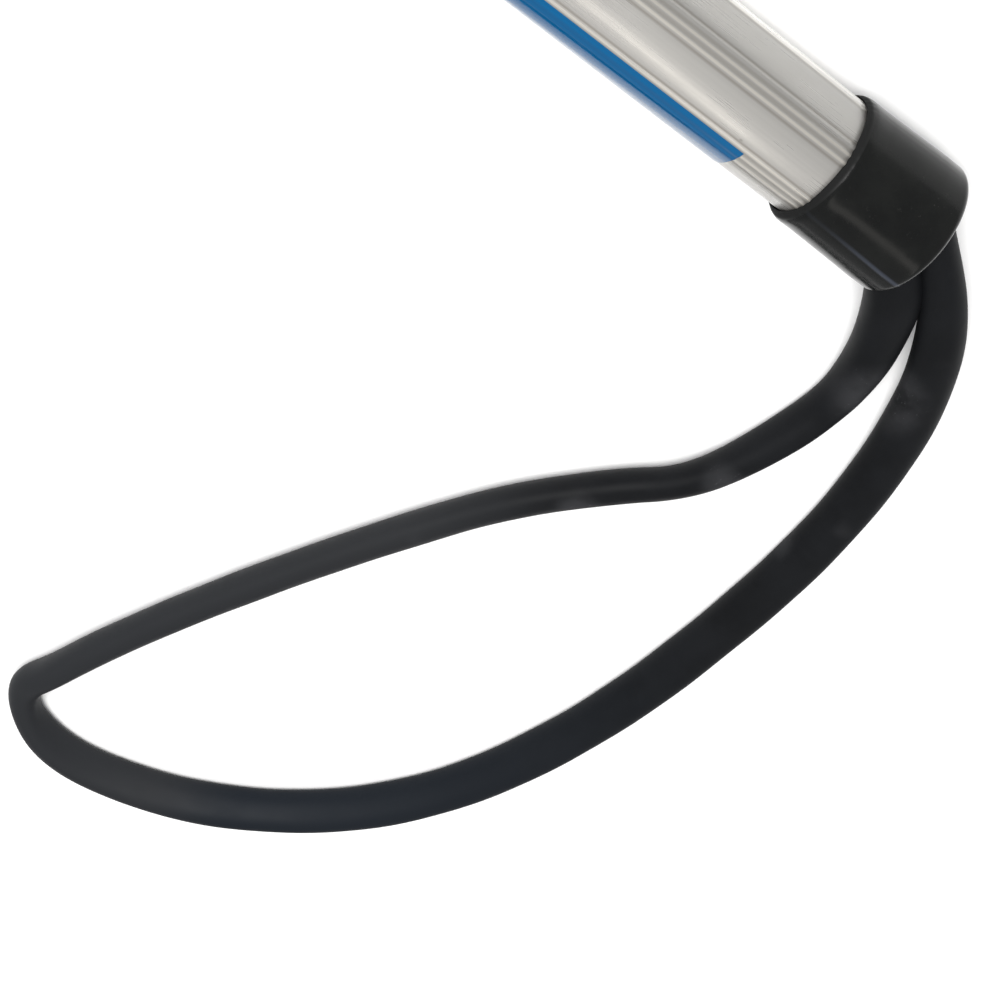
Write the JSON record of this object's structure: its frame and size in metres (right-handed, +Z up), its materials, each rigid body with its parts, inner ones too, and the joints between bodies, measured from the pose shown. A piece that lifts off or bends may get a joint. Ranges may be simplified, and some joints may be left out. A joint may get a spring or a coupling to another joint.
{
  "type": "golf ball retriever",
  "caption": "Telescopic pole with a ribbed metal handle, soft end cap, rubber wrist loop, twist locks, and a tilting ball cup with spring gates.",
  "frame": {"origin": "on the floor, under the middle of the collapsed pole, measured without the wrist strap", "axes": "+X along the pole from the handle cap to the ball cup, +Z up; the strap lies on the floor towards +Y"},
  "size_m": [0.8405, 0.2907, 0.044],
  "materials": {
    "ribbed_aluminium": "satin extruded, ribs brighter than the grooves",
    "drawn_aluminium": "satin drawn tube",
    "blue_film": "semi-gloss coloured film",
    "black_vinyl": "soft dipped vinyl, semi-gloss",
    "black_rubber": "satin rubber tubing with pale scuffs",
    "nylon": "natural nylon",
    "black_plastic": "moulded, fine texture",
    "cup_plastic": "moulded, semi-gloss",
    "gate_plastic": "moulded, semi-gloss",
    "zinc_steel": "bright zinc plate",
    "stainless": "polished stainless",
    "spring_steel": "drawn spring wire"
  },
  "bodies": {
    "handle": {"handle_tube": "ribbed_aluminium", "blue_stripe": "blue_film", "end_cap": "black_vinyl", "anchor_plug": "nylon", "anchor_pin": "zinc_steel", "wrist_strap": "black_rubber", "rear_sleeve": "black_plastic", "rear_sleeve_rivets": "zinc_steel"},
    "rear_lock": {"rear_lock_ring": "black_plastic"},
    "middle": {"middle_tube": "drawn_aluminium", "middle_guide": "nylon", "front_sleeve": "black_plastic", "front_sleeve_rivets": "zinc_steel"},
    "front_lock": {"front_lock_ring": "black_plastic"},
    "front": {"front_tube": "drawn_aluminium", "front_guide": "nylon", "neck": "black_plastic", "neck_pin": "zinc_steel", "tilt_bolt": "zinc_steel", "tilt_washers": "stainless"},
    "nut": {"wing_nut": "stainless"},
    "head": {"ball_cup": "cup_plastic", "head_bracket": "black_plastic", "bracket_rivets": "zinc_steel", "gate_pins": "stainless", "gate_spring_left": "spring_steel", "gate_spring_right": "spring_steel"},
    "left_gate": {"gate_left": "gate_plastic"},
    "right_gate": {"gate_right": "gate_plastic"}
  },
  "joints": [
    {"name": "rear_lock_turn", "type": "hinge", "parent": "handle", "child": "rear_lock", "pos_m": [0.2275, 0, 0.0146], "axis": [1, 0, 0], "range_deg": [0, 90]},
    {"name": "middle_slide", "type": "slide", "parent": "handle", "child": "middle", "axis": [1, 0, 0], "range_m": [0, 0.5]},
    {"name": "front_lock_turn", "type": "hinge", "parent": "middle", "child": "front_lock", "pos_m": [0.275, 0, 0.0146], "axis": [1, 0, 0], "range_deg": [0, 90]},
    {"name": "front_slide", "type": "slide", "parent": "middle", "child": "front", "axis": [1, 0, 0], "range_m": [0, 0.5]},
    {"name": "wing_nut_turn", "type": "hinge", "parent": "front", "child": "nut", "pos_m": [0.326, -0.01, 0.0146], "axis": [0, -1, 0], "range_deg": [0, 180]},
    {"name": "head_tilt", "type": "hinge", "parent": "front", "child": "head", "pos_m": [0.326, 0, 0.0146], "axis": [0, 1, 0], "range_deg": [-60, 60]},
    {"name": "gate_left_swing", "type": "hinge", "parent": "head", "child": "left_gate", "pos_m": [0.3644, 0.0242, 0.0415], "axis": [1, 0, 0], "range_deg": [0, 84], "stiffness_Nm_per_rad": 0.004, "springref_deg": -20.05, "deforming": ["gate_spring_left"]},
    {"name": "gate_right_swing", "type": "hinge", "parent": "head", "child": "right_gate", "pos_m": [0.3644, -0.0242, 0.0415], "axis": [-1, 0, 0], "range_deg": [0, 84], "stiffness_Nm_per_rad": 0.004, "springref_deg": -20.05, "deforming": ["gate_spring_right"]}
  ]
}
